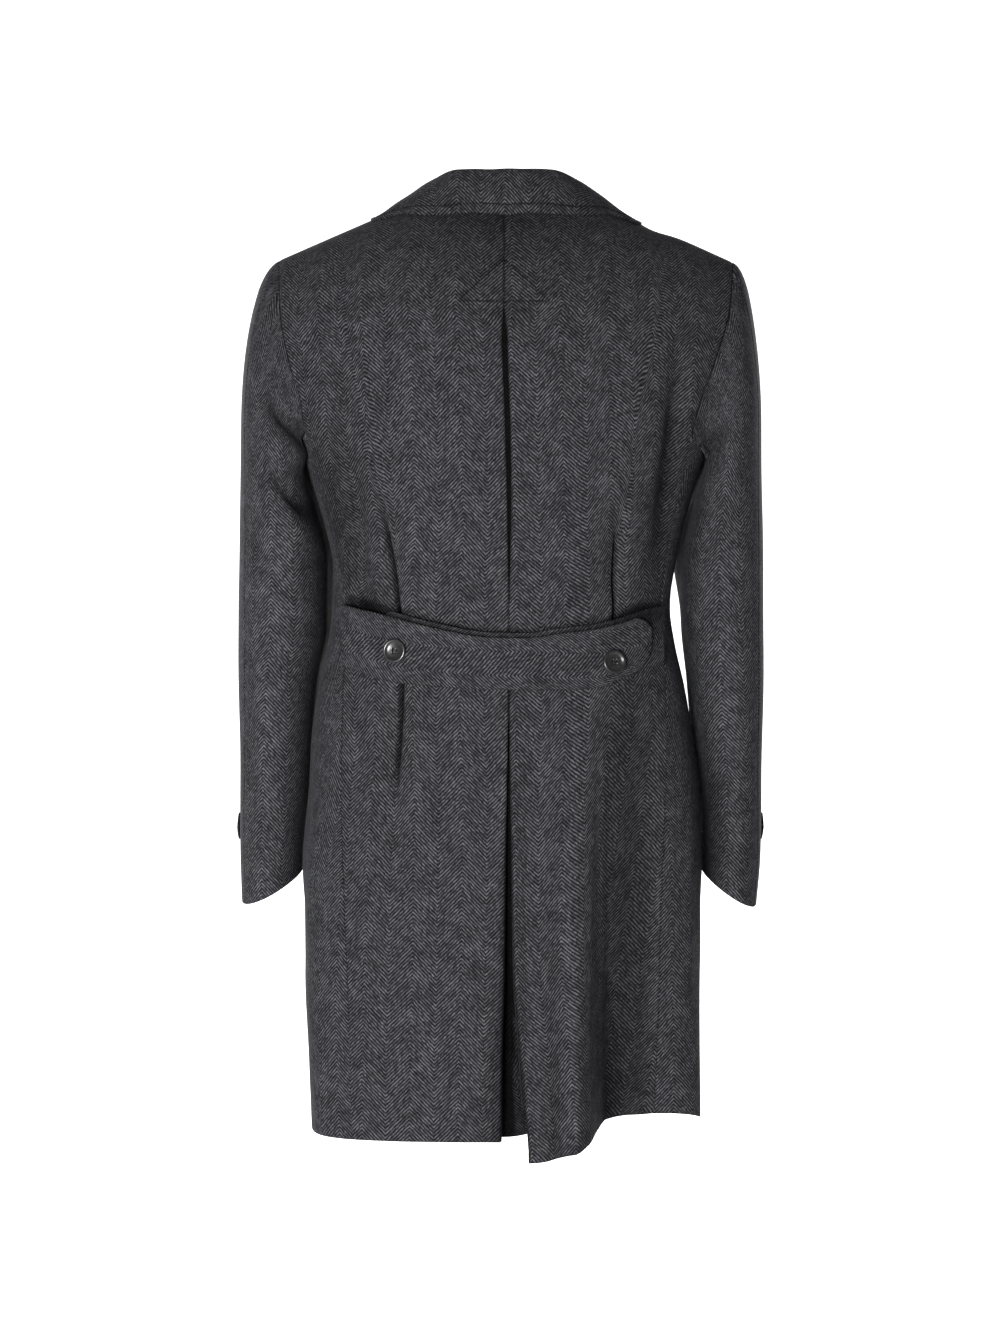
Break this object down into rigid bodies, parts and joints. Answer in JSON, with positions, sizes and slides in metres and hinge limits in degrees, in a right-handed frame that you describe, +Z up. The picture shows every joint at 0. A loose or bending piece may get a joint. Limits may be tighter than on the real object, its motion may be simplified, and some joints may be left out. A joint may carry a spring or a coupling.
{
  "type": "double-breasted overcoat with a half belt, filled out as worn",
  "caption": "Thigh-length wool overcoat with a turned-down collar, two-piece sleeves, a lapped buttoned front, an inverted back pleat and a buttoned half belt at the back waist.",
  "frame": {"origin": "centre of the neck at the level of the inner ends of the shoulder seams, where the wearer's shoulders hold the coat", "axes": "+Z up the coat, +X towards the wearer's left, +Y out of the coat's back"},
  "size_m": [0.5431, 0.3225, 0.9741],
  "materials": {
    "wool": "charcoal herringbone wool with a soft nap and light flecks",
    "button": "near-black glossy horn-like plastic with a raised rim"
  },
  "bodies": {
    "root": {"back_left": "wool", "back_right": "wool", "pleat_underlay": "wool", "front_left": "wool", "front_right": "wool", "sleeve_left_top": "wool", "sleeve_left_under": "wool", "sleeve_right_top": "wool", "sleeve_right_under": "wool", "collar": "wool", "lapel_left": "wool", "lapel_right": "wool", "belt_over": "wool", "belt_under": "wool", "belt_button_left": "button", "belt_button_right": "button", "front_button_1": "button", "front_button_2": "button", "front_button_3": "button", "front_button_4": "button", "front_button_5": "button", "front_button_6": "button", "cuff_tab_left": "wool", "cuff_tab_right": "wool", "cuff_button_left": "button", "cuff_button_right": "button"}
  },
  "joints": []
}
